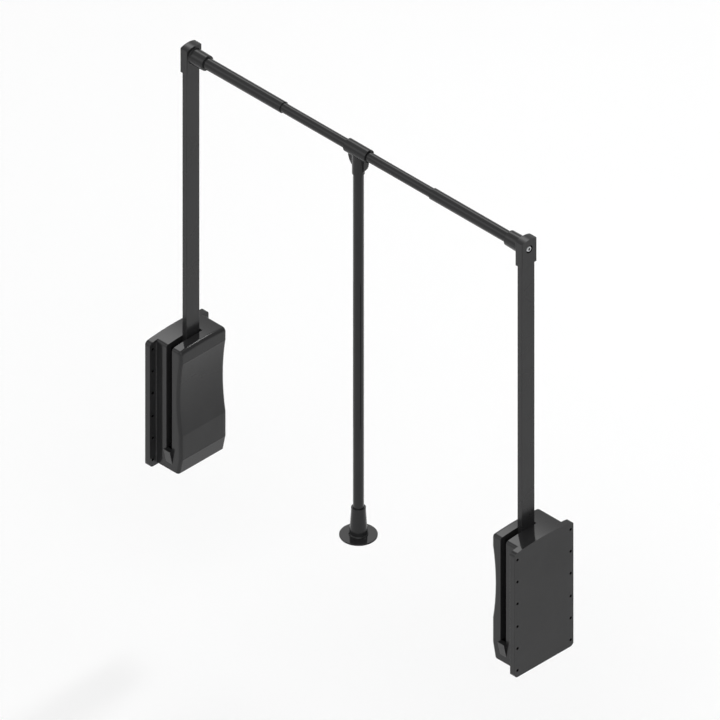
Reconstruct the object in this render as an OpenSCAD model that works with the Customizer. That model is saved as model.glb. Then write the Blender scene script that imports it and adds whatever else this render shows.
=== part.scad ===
// Pull down closet rod: two spring-assisted arms swing a telescopic hanging rail
// forward and down out of a wardrobe, and a pole in the middle pulls it within reach.
// Lengths are millimetres. X runs from the left wall to the right one, -Y is the
// front, and +Z is up. The origin is on the left plate's wall face, at the centre of
// its screw holes. Every side piece is drawn for the left side and mirrored for the
// right one.

/* [Overall] */
// Distance between the wall faces of the two plates
unit_w = 890; // [830:1:1150]
// Height of the rail's axis above the centre of the screw holes
rail_h = 715.5; // [560:0.5:900]
// Depth of the arms' centre line from the centre of the screw holes
arm_y = -2; // [-5:0.5:0]
// Angle that the arms swing forward and down from upright
swing_max = 100; // [90:1:104]

/* [Wall plate] */
// Height of the plate
plate_h = 262.8; // [256:0.1:290]
// Depth of the plate, front edge to rear edge
plate_d = 142; // [142:1:180]
// Thickness of the plate at its screw flanges
plate_t = 11.5; // [10:0.5:14]
// Floor left under the mechanism pocket
plate_floor = 4; // [3:0.5:6]
// Corner radius seen from the side
plate_corner = 8; // [3:0.5:12]
// Rounding of the upright edges
plate_edge = 0.5; // [0.3:0.1:3]
// Height of the plate's centre above the centre of the screw holes
plate_up = 2.4; // [0:0.05:4]
// How far the arched top drops from its middle to the plate's front and rear edges
top_drop = 4.8; // [2:0.1:6]
// Radius of the hollow corner between the screw flanges and the cover
flange_r = 1.5; // [0.8:0.1:2.5]

/* [Screw holes] */
// Diameter of a screw hole
hole_d = 5.4; // [4:0.1:6]
// How far each column stands in from the plate's front or rear edge
hole_side = 7; // [5:0.25:9]
// Height of the lowest row above the plate's bottom
hole_end = 13.9; // [12:0.1:18]
// Distance between the two middle rows
hole_mid = 47.4; // [32:0.1:50]
// Rows above the middle, and as many again below it
hole_rows = 3; // [1:1:3]

/* [Casing cover] */
// Distance from the wall to the cover's broad inner face
case_t = 71; // [70:0.5:80]
// Depth of the cover, front to rear
case_d = 111.2; // [110:0.1:122]
// Height of the cover's bottom above the plate's bottom
case_lift = 4.5; // [3:0.5:12]
// Wall thickness of the cover
case_wall = 3; // [2:0.25:3.5]
// Radius of the upright corners
case_corner = 6; // [5:0.5:12]
// Radius of the top edge above the broad face
case_top_r = 7; // [5:0.1:9]
// Radius of the top edges at the front and the rear
case_end_r = 5; // [2:0.25:6]
// Radius of the bottom edges
case_foot_r = 2; // [1:0.5:3]
// Height of the slanting foot under the broad face
foot_h = 31; // [20:0.5:34]
// How far the slanting foot draws in
foot_in = 6.5; // [4:0.5:12]
// Height of the flat band above the slanting foot
band_h = 50; // [40:0.5:56]
// Height of the hollow waist above the flat band
waist_h = 150; // [110:1:156]
// Depth of the hollow waist at its middle
waist_in = 6.3; // [2:0.1:7]

/* [Arm slot] */
// Distance from the wall to the middle of the slot
slot_x = 42.8; // [42.6:0.1:43.6]
// Width of the slot
slot_w = 13.6; // [13.2:0.1:14.6]
// Gap left behind the upright arm
slot_rear = 4.5; // [4:0.25:8]
// Thickness of the lips inside the slot
lip_t = 1.8; // [1.2:0.1:1.8]
// Depth of the lips inside the slot
lip_d = 9; // [4:0.5:9]

/* [Arm rest] */
// Height of the rest's flat top above the plate's bottom
rest_h = 47.5; // [46:0.5:50]
// Width of the rest
rest_w = 15.2; // [14:0.1:17]
// How far the rest stands out in front of the cover
rest_out = 6.5; // [3:0.25:9]
// Height of the rest's tapering front
rest_drop = 28.6; // [15:0.2:32]

/* [Arms] */
// Distance from the wall to the middle of the arm
arm_x = 41.6; // [41.6:0.1:42.2]
// Thickness of the arm's flat tube, across the wardrobe
arm_t = 10.6; // [9:0.1:10.6]
// Width of the arm's flat tube, front to rear
arm_w = 30.8; // [28:0.1:31.2]
// Wall of the arm's flat tube
arm_wall = 1.5; // [1:0.1:2]
// Corner radius of the arm's flat tube
arm_corner = 0.6; // [0.4:0.1:1.4]

/* [Pivot and crank] */
// Diameter of the pivot shaft
shaft_d = 10; // [8:0.5:10.5]
// Outer diameter of the steel hub through the arm's foot
hub_d = 16; // [14:0.5:18]
// Distance from the pivot to the crank pin
crank_r = 24; // [22:0.25:24.5]
// Angle of the crank pin below the horizontal, with the arm upright
crank_a = 50; // [44:1:52]
// Thickness of the crank plate
crank_t = 3; // [2:0.25:3.5]
// Diameter of the crank roller
roller_d = 9; // [8:0.25:9.5]
// Diameter of the crank pin
pin_d = 6; // [5:0.25:6.5]
// Thickness of the inner cheek plate
cheek_t = 3; // [2:0.25:3.5]
// Diameter of the three posts that carry the cheek plate
post_d = 10; // [8:0.5:11]
// Outer diameter of the rotary damper
damper_d = 32; // [28:0.5:34]
// Thickness of the rotary damper
damper_t = 7; // [5:0.25:7]

/* [Lift spring] */
// Outer diameter of the coil
spring_d = 22; // [18:0.5:22]
// Diameter of the wire
wire_d = 3.2; // [2:0.1:3.4]
// Number of turns
spring_turns = 12; // [8:1:16]
// Diameter of the stem that guides the coil
stem_d = 10; // [8:0.5:11]
// Distance from the wall to the spring's axis
spring_x = 20; // [19:0.25:20.5]
// Distance of the spring's axis behind the pivot
spring_back = 21.5; // [21:0.25:22.5]
// Height of the spring seat's underside above the centre of the screw holes
seat_z = 78; // [60:1:80]
// Thickness of the spring seat
seat_t = 8; // [6:0.5:9]

/* [Top brackets] */
// Thickness of the bracket, across the wardrobe
bracket_t = 16.6; // [15.5:0.1:17.5]
// Depth of the bracket, front to rear
bracket_w = 35.3; // [34:0.1:38]
// How far the bracket reaches below the rail's axis
bracket_down = 32.3; // [20:0.1:45]
// Height of the crown's top above the rail's axis
bracket_up = 20; // [18:0.5:28]
// How far the crown drops at its front and rear
crown_drop = 3.8; // [2:0.1:6.5]
// Diameter of the rail socket
socket_d = 28.8; // [26:0.1:30]
// How far the socket's root stands out from its free end
socket_taper = 0.7; // [0.2:0.1:1.2]
// Length of the rail socket from the bracket's middle
socket_l = 40; // [30:0.5:60]
// Radius of the hollow corner round the socket's root
socket_flare = 1.6; // [1:0.1:2]
// Diameter of the recess round the screw head
recess_d = 14.8; // [14:0.1:20]
// Diameter of the screw head
head_d = 11; // [10:0.1:13.5]
// Diameter of the rail screw
screw_d = 8; // [6:0.5:8]

/* [Hanging rail] */
// Diameter of the two outer tubes
outer_d = 21.4; // [21:0.1:22]
// Wall of the outer tubes
outer_wall = 1.2; // [0.8:0.1:1.3]
// Distance from the wall to the free end of an outer tube
outer_end = 264; // [200:1:270]
// Diameter of the centre tube
centre_d = 18; // [16.5:0.1:18.2]
// Distance from the wall to an end of the centre tube
centre_inset = 104.5; // [100:0.5:125]
// Wall of the centre tube
centre_wall = 1.2; // [0.8:0.1:2]
// Length of the slide bush inside an outer tube
bush_l = 22; // [12:1:30]
// Thickness of the slide bush's visible rim
bush_rim = 1; // [0.6:0.1:2]

/* [Pull pole] */
// Length of the tee's sleeve
tee_l = 51; // [48:0.5:80]
// Diameter of the tee's sleeve
tee_d = 24.8; // [23.4:0.1:28]
// Diameter of the tee's pole socket
neck_d = 22.4; // [21:0.1:26]
// Depth of the recesses in the sleeve's ends, round the rail
tee_recess = 2; // [0.5:0.25:4]
// How far the pole socket reaches below the rail's axis
neck_l = 46; // [40:0.5:70]
// Thickness of the tee's web
web_t = 2.5; // [2:0.25:6]
// Half width of the tee's web at the sleeve
web_w = 24; // [18:0.5:26]
// Diameter of the pole
pole_d = 19; // [17:0.1:19.4]
// Wall of the pole
pole_wall = 1.2; // [0.8:0.1:2]
// Distance from the rail's axis down to the top of the grip's disc
pole_drop = 798.6; // [500:0.5:900]
// Height of the grip's bell
bell_h = 56.6; // [40:0.5:80]
// Radius of the bell at its top
bell_top_r = 12.7; // [11:0.1:14]
// Largest radius of the bell, just above the disc
bell_foot_r = 17; // [15:0.1:22]
// Diameter of the grip's disc
disc_d = 66; // [45:1:90]
// Thickness of the grip's disc
disc_t = 3; // [2:0.1:4]

/* [Clearances] */
// Radial clearance of what turns or slides in a bore
run_gap = 0.05; // [0.02:0.01:0.09]
// Radial clearance of what is pressed or pushed in for good
fit_gap = 0.02; // [0.01:0.01:0.05]
// Gap between a stop and what rests on it
stop_gap = 0.3; // [0.2:0.05:0.4]
// Gap beside a part that moves past another
side_gap = 0.3; // [0.2:0.05:0.4]

/* [Hidden] */
$fn = 64;
small_fn = 32;
cut = 1;

// Heights of the plate, the cover and its bands
plate_z0 = plate_up - plate_h / 2;
plate_z1 = plate_up + plate_h / 2;
case_z0 = plate_z0 + case_lift;
case_z1 = plate_z1;
foot_z = case_z0 + foot_h;
waist_z0 = foot_z + band_h;
waist_z1 = waist_z0 + waist_h;
waist_mid = (waist_z0 + waist_z1) / 2;
hole_cols = plate_d - 2 * hole_side;
hole_pitch = (-plate_z0 - hole_end - hole_mid / 2) / max(hole_rows - 1, 1);
waist_r = (pow(waist_h / 2, 2) + pow(waist_in, 2)) / (2 * waist_in);
case_y = case_d / 2;
inner_y = case_y - case_wall;
arch_r = (pow(plate_d / 2, 2) + pow(top_drop, 2)) / (2 * top_drop);
arch_z = plate_z1 - arch_r;

// The arm, its slot, and the pivot that lays the lowered arm on the rest
arm_x0 = arm_x - arm_t / 2;
arm_x1 = arm_x + arm_t / 2;
over = swing_max - 90;
rest_z = plate_z0 + rest_h;
rest_reach = case_y + rest_out + arm_y;
pivot_z = rest_z + arm_w / 2 / cos(over) + rest_reach * tan(over) + stop_gap;
slot_x0 = slot_x - slot_w / 2;
slot_x1 = slot_x + slot_w / 2;
slot_y1 = arm_y + arm_w / 2 + slot_rear;

// Places across the arm's foot, from the wall inwards
flange_t = 1.2;
flange_over = 2;
bush_wall = 1.5;
bush_in = 12;
hub_out = 2.2;
hub_in = 2.4;
hub_x0 = arm_x0 - crank_t - hub_out;
hub_x1 = arm_x1 + hub_in;
boss_x1 = hub_x0 - side_gap - flange_t;
cheek_x0 = hub_x1 + side_gap + flange_t;
cheek_x1 = cheek_x0 + cheek_t;
damper_x0 = cheek_x1 + 0.1 * cheek_t;
damper_x1 = damper_x0 + damper_t;
shaft_x0 = boss_x1 - bush_in + side_gap;
shaft_x1 = damper_x1 - 0.3 * damper_t;
bush_d = shaft_d + 2 * (run_gap + bush_wall);
boss_d = bush_d + 2 * 2.4 * bush_wall;

// The crank and the pusher that it lifts
pin_y = arm_y + crank_r * cos(crank_a);
pin_z = pivot_z - crank_r * sin(crank_a);
lift = crank_r * (sin(crank_a) + sin(swing_max - crank_a));
yoke_play = 1;
yoke_h = roller_d + 2 * yoke_play;
yoke_jaw = 7;
yoke_back = 3.6;
pusher_x0 = spring_x - spring_d / 2 - 0.5 * yoke_play;
pusher_x1 = spring_x + spring_d / 2;
pusher_y0 = arm_y + boss_d / 2 + yoke_play;
pusher_y1 = arm_y + crank_r + roller_d / 2 + yoke_back + side_gap;
pusher_z0 = pin_z - yoke_h / 2 - yoke_jaw;
pusher_z1 = pin_z + yoke_h / 2 + yoke_jaw;
spring_y = arm_y + spring_back;
roller_x0 = pusher_x0 + 2 * yoke_jaw - yoke_h / 2;
roller_x1 = pusher_x1 - yoke_play;
pin_head_t = 1.5;
crank_arm_w = 14;
crank_leg_r = 9;
crank_leg = 29;
rivet_d = 5;
rivet_places = [0.72 * crank_leg, 1.1 * crank_leg];

// The posts under the cheek plate, from the pivot
post_shares = [[1.77, 1.06], [1.77, -1.86], [-0.94, -2.06]];
post_places = [for (s = post_shares) [arm_y + s[0] * crank_r, pivot_z + s[1] * crank_r]];
post_boss_d = post_d + 6;
post_boss_x1 = plate_floor + post_d;
post_root = 1;

// The spring seat and its shelf on the plate
seat_w = spring_d + 6;
seat_x1 = spring_x + spring_d / 2 + yoke_play;
shelf_t = 4;
rib_t = 2.5;
stem_out = 3;

// The bracket and the rail
bracket_x0 = arm_x - bracket_t / 2;
bracket_x1 = arm_x + bracket_t / 2;
socket_x1 = arm_x + socket_l;
rail_x0 = bracket_x1 + fit_gap;
outer_in = outer_d - 2 * outer_wall;
nut_l = 20;
head_t = arm_x0 - bracket_x0 - side_gap;
hex_d = 5.6;
arm_top = rail_h + bracket_up / 2 + 1.5 * arm_wall;
crown_r = (pow(bracket_w / 2, 2) + pow(crown_drop, 2)) / (2 * crown_drop);

// The pole and its grip, which hang from the rail
mid_x = unit_w / 2;
centre_l = unit_w - 2 * centre_inset;
disc_z = rail_h - pole_drop;
bell_z1 = disc_z + bell_h;
bell_core = 14;
pole_z0 = disc_z + bell_core + fit_gap;
pole_z1 = rail_h - centre_d / 2 - 0.6 * neck_d / 2;
tee_screw_d = 4;
tee_screw_z = rail_h - 0.8 * neck_l;

// Helpers

module on_right() {
    translate([unit_w, 0, 0])
        mirror([1, 0, 0])
            children();
}

// Extrudes an outline of Y and Z from x0 to x1
module along_x(x0, x1) {
    translate([x0, 0, 0])
        rotate([90, 0, 90])
            linear_extrude(x1 - x0)
                children();
}

// Extrudes an outline of X and Z from y0 to y1
module along_y(y0, y1) {
    translate([0, y1, 0])
        rotate([90, 0, 0])
            linear_extrude(y1 - y0)
                children();
}

// A round bar along X, at depth y and height z
module bar_x(x0, x1, d, y, z) {
    translate([x0, y, z])
        rotate([0, 90, 0])
            cylinder(h = x1 - x0, d = d);
}

// A round body turned about an axis along X, from an outline of radius and X
module turned_x(y, z) {
    translate([0, y, z])
        rotate([90, 0, 90])
            rotate_extrude()
                children();
}

module box(x0, x1, y0, y1, z0, z1) {
    translate([x0, y0, z0])
        cube([x1 - x0, y1 - y0, z1 - z0]);
}

// A rectangle with true arcs at its corners, about its centre
module round_rect(w, h, r) {
    square([w - 2 * r, h], center = true);
    square([w, h - 2 * r], center = true);
    for (x = [-1, 1], y = [-1, 1])
        translate([x * (w / 2 - r), y * (h / 2 - r)])
            circle(r, $fn = small_fn);
}

// Wall plates

module wall_plate() {
    mid_x = plate_t / 2;
    pocket_y = inner_y + side_gap;
    color("#1c1c1d")
        difference() {
            union() {
                difference() {
                    plate_blank(mid_x);
                    box(plate_floor, plate_t + cut, -pocket_y, pocket_y, case_z0 + case_wall - side_gap,
                        case_z1 - arch_in(pocket_y) - case_wall + side_gap);
                    hook_notches();
                }
                flange_corners();
                plate_bosses();
                plate_ribs();
            }
            pivot_bore();
            for (p = post_places)
                bar_x(plate_floor + post_root, post_boss_x1 + cut, post_d + 2 * fit_gap, p[0], p[1]);
            screw_holes();
        }
}

module plate_blank(mid_x) {
    intersection() {
        along_x(0, plate_t)
            plate_outline();
        translate([mid_x, 0, plate_z0])
            linear_extrude(plate_h)
                round_rect(plate_t, plate_d, plate_edge);
    }
}

// The plate seen from the side: an arched top whose corners run smoothly into it
module plate_outline() {
    half = plate_d / 2;
    in_y = half - plate_corner;
    top_z = arch_z + sqrt(pow(arch_r - plate_corner, 2) - pow(in_y, 2));
    low_z = plate_z0 + plate_corner;
    meet_y = in_y * arch_r / (arch_r - plate_corner);
    translate([-half, low_z])
        square([plate_d, top_z - low_z]);
    translate([-in_y, plate_z0])
        square([2 * in_y, plate_corner + cut]);
    intersection() {
        translate([0, arch_z])
            circle(r = arch_r);
        translate([-meet_y, top_z - cut])
            square([2 * meet_y, plate_h]);
    }
    for (y = [-in_y, in_y], z = [low_z, top_z])
        translate([y, z])
            circle(plate_corner, $fn = small_fn);
}

// The hollow corners between the flanges and the cover's front and rear
module flange_corners() {
    z0 = case_z0 + case_foot_r;
    z1 = case_z1 - arch_in(case_y) - case_end_r;
    for (side = [0, 1])
        mirror([0, side, 0])
            translate([plate_t, case_y, z0])
                linear_extrude(z1 - z0)
                    difference() {
                        translate([-flange_r, 0])
                            square([2 * flange_r, flange_r]);
                        translate([flange_r, flange_r])
                            circle(flange_r, $fn = small_fn);
                    }
}

module screw_holes() {
    for (column = [-1, 1], half = [-1, 1], row = [0 : hole_rows - 1])
        bar_x(-cut, plate_t + cut, hole_d,
            column * hole_cols / 2, half * (hole_mid / 2 + row * hole_pitch));
}

module plate_bosses() {
    root_x = plate_floor - post_root;
    bar_x(root_x, boss_x1, boss_d, arm_y, pivot_z);
    for (p = post_places)
        bar_x(root_x, post_boss_x1, post_boss_d, p[0], p[1]);
}

module pivot_bore() {
    bar_x(boss_x1 - bush_in, boss_x1 + cut, bush_d + 2 * fit_gap, arm_y, pivot_z);
}

// The pusher's guide rib, and the shelf that the spring seat pushes up against
module plate_ribs() {
    root_x = plate_floor - post_root;
    rib_x1 = spring_x;
    seat_y0 = spring_y - seat_w / 2;
    seat_y1 = spring_y + seat_w / 2;
    shelf_z = seat_z + seat_t + side_gap;
    box(root_x, rib_x1, pusher_y1 + side_gap, pusher_y1 + side_gap + rib_t,
        pusher_z0, pusher_z1 + lift);
    for (y = [seat_y0 - side_gap - rib_t, seat_y1 + side_gap])
        box(root_x, rib_x1, y, y + rib_t, seat_z - shelf_t, shelf_z + shelf_t);
    difference() {
        box(root_x, rib_x1, seat_y0 - side_gap - rib_t / 2, seat_y1 + side_gap + rib_t / 2,
            shelf_z, shelf_z + shelf_t);
        translate([spring_x, spring_y, shelf_z - cut])
            cylinder(h = shelf_t + 2 * cut, d = stem_d + 4 * yoke_play);
    }
}

// Covers

// Distance of the cover's broad face from the wall at height z
function face_x(z) =
    z < foot_z ? case_t - foot_in * (foot_z - z) / foot_h
    : z < waist_z0 || z > waist_z1 ? case_t
    : case_t - sqrt(pow(waist_r, 2) - pow(z - waist_mid, 2)) + waist_r - waist_in;

// How far the arched top lies below its middle at depth y
function arch_in(y) = arch_r - sqrt(pow(arch_r, 2) - y * y);

// How far an edge of radius r draws in, past the place where its rounding starts
function round_in(r, past) = past > 0 ? r - sqrt(max(0, r * r - past * past)) : 0;

// Depths at which the cover's outline changes, from its rear to its front
corner_steps = 5;
arch_steps = 8;
waist_steps = 12;
edge_steps = 5;
function cover_depths(y1, r) = concat(
    [for (i = [0 : corner_steps]) y1 - r + r * cos(90 * i / corner_steps)],
    [for (i = [1 : arch_steps - 1]) (1 - 2 * i / arch_steps) * (y1 - r)],
    [for (i = [0 : corner_steps]) r - y1 - r * sin(90 * i / corner_steps)]);

// The cover's outline in X and Z at depth y, drawn in by the wall thickness for the inside
function cover_ring(y, wall) =
    let (past = abs(y) - case_y + wall,
        corner_r = max(case_corner - wall, case_corner / 10),
        end_r = max(case_end_r - wall, case_end_r / 10),
        foot_r = max(case_foot_r - wall, case_foot_r / 10),
        top_r = case_top_r - wall,
        side_in = wall + round_in(corner_r, past + corner_r),
        z0 = case_z0 + wall + round_in(foot_r, past + foot_r),
        z1 = case_z1 - wall - arch_in(y) - round_in(end_r, past + end_r),
        x0 = wall > 0 ? plate_t - cut : plate_t)
    concat(
        [[x0, y, z0]],
        [for (i = [0 : 2])
            let (z = z0 + foot_r * (1 - cos(45 * i)))
            [face_x(z) - side_in - foot_r * (1 - sin(45 * i)), y, z]],
        [[case_t - side_in, y, foot_z]],
        [for (i = [0 : waist_steps])
            let (z = waist_z0 + waist_h * i / waist_steps)
            [face_x(z) - side_in, y, z]],
        [for (i = [0 : edge_steps])
            let (a = 90 * i / edge_steps)
            [case_t - side_in - top_r * (1 - cos(a)), y, z1 - top_r * (1 - sin(a))]],
        [[x0, y, z1]]);

// A solid skinned over rings that all have the same number of points
module skinned(rings) {
    n = len(rings[0]);
    last = len(rings) - 1;
    polyhedron(
        points = [for (ring = rings) each ring],
        faces = concat(
            [[for (i = [0 : n - 1]) i]],
            [for (k = [0 : last - 1], i = [0 : n - 1])
                [k * n + i, (k + 1) * n + i, k * n + (i + 1) % n]],
            [for (k = [0 : last - 1], i = [0 : n - 1])
                [k * n + (i + 1) % n, (k + 1) * n + i, (k + 1) * n + (i + 1) % n]],
            [[for (i = [n - 1 : -1 : 0]) last * n + i]]));
}

module cover_solid(wall) {
    skinned([for (y = cover_depths(case_y - wall, max(case_corner - wall, case_corner / 10)))
        cover_ring(y, wall)]);
}

hook_z_shares = [-0.27, 0.3];
hook_w = 14;
hook_t = 2;
hook_catch = 1.2;
hook_x0 = plate_floor + 1.4;

// The catches in the pocket's sides that the cover's hooks snap into
module hook_notches() {
    for (side = [-1, 1], share = hook_z_shares)
        translate([hook_x0 - side_gap, side * inner_y, plate_up + share * plate_h])
            translate([0, -hook_catch - 2 * side_gap, -hook_w / 2 - side_gap])
                cube([hook_catch + 1.5 * hook_t, 2 * (hook_catch + 2 * side_gap), hook_w + 2 * side_gap]);
}

module cover_hooks() {
    for (side = [0, 1], share = hook_z_shares)
        mirror([0, side, 0])
            translate([0, inner_y, plate_up + share * plate_h - hook_w / 2]) {
                translate([hook_x0, -hook_t, 0])
                    cube([2 * plate_t, hook_t, hook_w]);
                translate([plate_t + side_gap, -hook_t, 0])
                    cube([plate_t, hook_t + case_wall / 2, hook_w]);
                translate([hook_x0, -hook_t / 2, 0])
                    cube([hook_catch, hook_t / 2 + hook_catch, hook_w]);
            }
}

// The lips that line the arm slot, and the wall behind the upright arm
module slot_lips() {
    top_z = case_z1 - case_wall - lip_d;
    intersection() {
        union() {
            for (x = [slot_x0 - lip_t, slot_x1]) {
                box(x, x + lip_t, -case_y, -inner_y + lip_d, rest_z, case_z1);
                box(x, x + lip_t, -case_y, slot_y1 + lip_t, top_z, case_z1);
            }
            box(slot_x0 - lip_t, slot_x1 + lip_t, slot_y1, slot_y1 + lip_t, top_z - 2 * lip_d, case_z1);
        }
        cover_solid(case_wall / 2);
    }
}

module cover() {
    color("#202021")
        difference() {
            union() {
                difference() {
                    cover_solid(0);
                    cover_solid(case_wall);
                }
                cover_hooks();
                slot_lips();
            }
            box(slot_x0, slot_x1, -case_y - cut, slot_y1, rest_z, case_z1 + cut);
            rest_tongue(side_gap);
        }
}

// The tongue that holds the arm rest in the cover's front wall
module rest_tongue(gap) {
    tongue_w = rest_w / 2;
    tongue_h = rest_drop / 2;
    box(slot_x - tongue_w / 2 - gap, slot_x + tongue_w / 2 + gap,
        -case_y - cut * (gap > 0 ? 1 : 0), -inner_y + case_wall / 2,
        rest_z - tongue_h - gap, rest_z - case_wall / 2 + gap);
}

module arm_rest() {
    color("#252526")
        union() {
            along_x(slot_x - rest_w / 2, slot_x + rest_w / 2)
                polygon([
                    [-case_y, rest_z - rest_drop],
                    [-case_y - rest_out, rest_z],
                    [-case_y, rest_z]]);
            rest_tongue(0);
        }
}

// The rubber block that the upright arm leans on
module rest_buffer() {
    buffer_w = 0.8 * slot_w;
    buffer_h = 14;
    z1 = case_z1 - case_wall - lip_d;
    color("#101010")
        along_y(arm_y + arm_w / 2 + stop_gap, slot_y1)
            translate([slot_x, z1 - buffer_h / 2])
                round_rect(buffer_w, buffer_h, buffer_w / 5);
}

// The cheek plate that carries the inner end of the pivot

module inner_cheek() {
    lug_d = post_d + 8;
    color("#8d9093")
        difference() {
            along_x(cheek_x0, cheek_x1)
                union() {
                    polygon([[arm_y, pivot_z], post_places[2], post_places[1], post_places[0]]);
                    translate([arm_y, pivot_z])
                        circle(d = damper_d + 2 * rivet_d);
                    for (p = post_places)
                        translate(p)
                            circle(d = lug_d);
                }
            bar_x(cheek_x0 - cut, cheek_x1 + cut, bush_d + 2 * fit_gap, arm_y, pivot_z);
            for (p = post_places)
                bar_x(cheek_x0 - cut, cheek_x1 + cut, cheek_screw_d + 2 * fit_gap, p[0], p[1]);
            for (p = damper_places)
                bar_x(cheek_x0 - cut, cheek_x1 + cut, damper_screw_d + 2 * fit_gap, p[0], p[1]);
        }
}

cheek_screw_d = 5;
cheek_screw_l = 14;
cheek_head_d = 9;
cheek_head_t = 2.6;
damper_screw_d = 2.6;
damper_screw_l = 2.4;
damper_ear_r = damper_d / 2 + damper_screw_d;
damper_places = [for (side = [-1, 1]) [arm_y + side * damper_ear_r * cos(40), pivot_z + side * damper_ear_r * sin(40)]];

module cheek_posts() {
    color("#a4a7aa")
        for (p = post_places)
            difference() {
                bar_x(plate_floor + post_root, cheek_x0, post_d, p[0], p[1]);
                bar_x(cheek_x0 - cheek_screw_l - cut, cheek_x0 + cut,
                    cheek_screw_d + 2 * fit_gap, p[0], p[1]);
            }
}

module cheek_screws() {
    color("#c3c6c8")
        for (p = post_places)
            difference() {
                union() {
                    bar_x(cheek_x0 - cheek_screw_l, cheek_x1 + cheek_head_t / 2, cheek_screw_d, p[0], p[1]);
                    bar_x(cheek_x1, cheek_x1 + cheek_head_t, cheek_head_d, p[0], p[1]);
                }
                bar_x(cheek_x1 + cheek_head_t / 2, cheek_x1 + cheek_head_t + cut,
                    cheek_head_d / 2, p[0], p[1], $fn = 6);
            }
}

// Two flanged bushes: one in the plate's boss and one in the cheek plate
module pivot_bushes() {
    color("#d9d4c4") {
        flanged_bush(boss_x1 - bush_in, boss_x1, boss_x1 + flange_t);
        flanged_bush(cheek_x1, cheek_x0, cheek_x0 - flange_t);
    }
}

// A bush whose sleeve runs from x0 to x1 and whose flange ends at x2
module flanged_bush(x0, x1, x2) {
    low = min(x0, x2);
    high = max(x0, x2);
    difference() {
        union() {
            bar_x(low, high, bush_d, arm_y, pivot_z);
            bar_x(min(x1, x2), max(x1, x2), bush_d + 2 * flange_over, arm_y, pivot_z);
        }
        bar_x(low - cut, high + cut, shaft_d + 2 * run_gap, arm_y, pivot_z);
    }
}

module rotary_damper() {
    ear_t = damper_t / 3;
    color("#2b2b2d")
        difference() {
            union() {
                bar_x(damper_x0, damper_x1, damper_d, arm_y, pivot_z);
                for (p = damper_places)
                    bar_x(damper_x0, damper_x0 + ear_t, 3 * damper_screw_d, p[0], p[1]);
            }
            bar_x(damper_x0 - cut, shaft_x1 + side_gap, shaft_d + 2 * run_gap, arm_y, pivot_z);
            for (p = damper_places)
                bar_x(damper_x0 - cut, damper_x1 + cut, damper_screw_d + 2 * fit_gap, p[0], p[1]);
        }
}

module damper_screws() {
    head_x = damper_x0 + damper_t / 3;
    color("#c3c6c8")
        for (p = damper_places) {
            bar_x(damper_x0 - damper_screw_l, head_x + damper_screw_d / 4, damper_screw_d, p[0], p[1]);
            bar_x(head_x, head_x + damper_screw_d / 2, 1.7 * damper_screw_d, p[0], p[1]);
        }
}

// Lift springs

module spring_seat() {
    edge_r = 2;
    color("#8d9093")
        difference() {
            translate([(plate_floor + fit_gap + seat_x1) / 2, spring_y, seat_z])
                linear_extrude(seat_t)
                    round_rect(seat_x1 - plate_floor - fit_gap, seat_w, edge_r);
            translate([spring_x, spring_y, seat_z - cut])
                cylinder(h = seat_t + 2 * cut, d = stem_d + 2 * run_gap);
        }
}

coil_steps = 8;
wire_sides = 6;
coil_rise = wire_d + 0.5;
coil_r = (spring_d - wire_d) / 2;
spring_z0 = pusher_z1 + fit_gap;
spring_z1 = seat_z - fit_gap;
coil_height = spring_z1 - spring_z0 - wire_d;
free_rise = (coil_height - 2 * coil_rise) / (spring_turns - 2);

// Height of the wire's centre after a number of turns, with a closed turn at each end
function coil_z(turn) =
    spring_z0 + wire_d / 2 + coil_rise * min(turn, 1)
    + free_rise * max(0, min(turn - 1, spring_turns - 2))
    + coil_rise * max(0, turn - spring_turns + 1);

function wire_point(turn) =
    [spring_x + coil_r * cos(360 * turn), spring_y + coil_r * sin(360 * turn), coil_z(turn)];

function wire_ring(turn) =
    [for (i = [0 : wire_sides - 1])
        let (a = 360 * i / wire_sides,
            out = coil_r + wire_d / 2 * cos(a))
        [spring_x + out * cos(360 * turn), spring_y + out * sin(360 * turn),
            coil_z(turn) + wire_d / 2 * sin(a)]];

coil_ends = [for (i = [0 : spring_turns * coil_steps]) i / coil_steps];
coil_gaps = [for (t = coil_ends) if (t + 1 <= spring_turns) norm(wire_point(t + 1) - wire_point(t)) - wire_d];
echo(least_gap_between_turns = min(coil_gaps));

module lift_spring() {
    color("#9a9da0")
        skinned([for (t = coil_ends) [for (i = [wire_sides - 1 : -1 : 0]) wire_ring(t)[i]]]);
}

// The yoke that the crank roller lifts, with the stem that guides the spring
module spring_pusher() {
    slot_y = arm_y + crank_r + roller_d / 2 + side_gap;
    color("#3a3d40")
        difference() {
            union() {
                box(pusher_x0, pusher_x1, pusher_y0, pusher_y1, pusher_z0, pusher_z1);
                translate([spring_x, spring_y, pusher_z1 - yoke_jaw / 2])
                    cylinder(h = seat_z + seat_t + stem_out - pusher_z1 + yoke_jaw / 2, d = stem_d);
            }
            box(pusher_x0 - cut, pusher_x1 + cut, pusher_y0 - cut, slot_y,
                pin_z - yoke_h / 2, pin_z + yoke_h / 2);
        }
}

// Pivots and cranks

module pivot_shaft() {
    color("#b4b7ba")
        bar_x(shaft_x0, shaft_x1, shaft_d, arm_y, pivot_z);
}

module arm_hub() {
    color("#a4a7aa")
        difference() {
            bar_x(hub_x0, hub_x1, hub_d, arm_y, pivot_z);
            bar_x(hub_x0 - cut, hub_x1 + cut, shaft_d + 2 * fit_gap, arm_y, pivot_z);
        }
}

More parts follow.
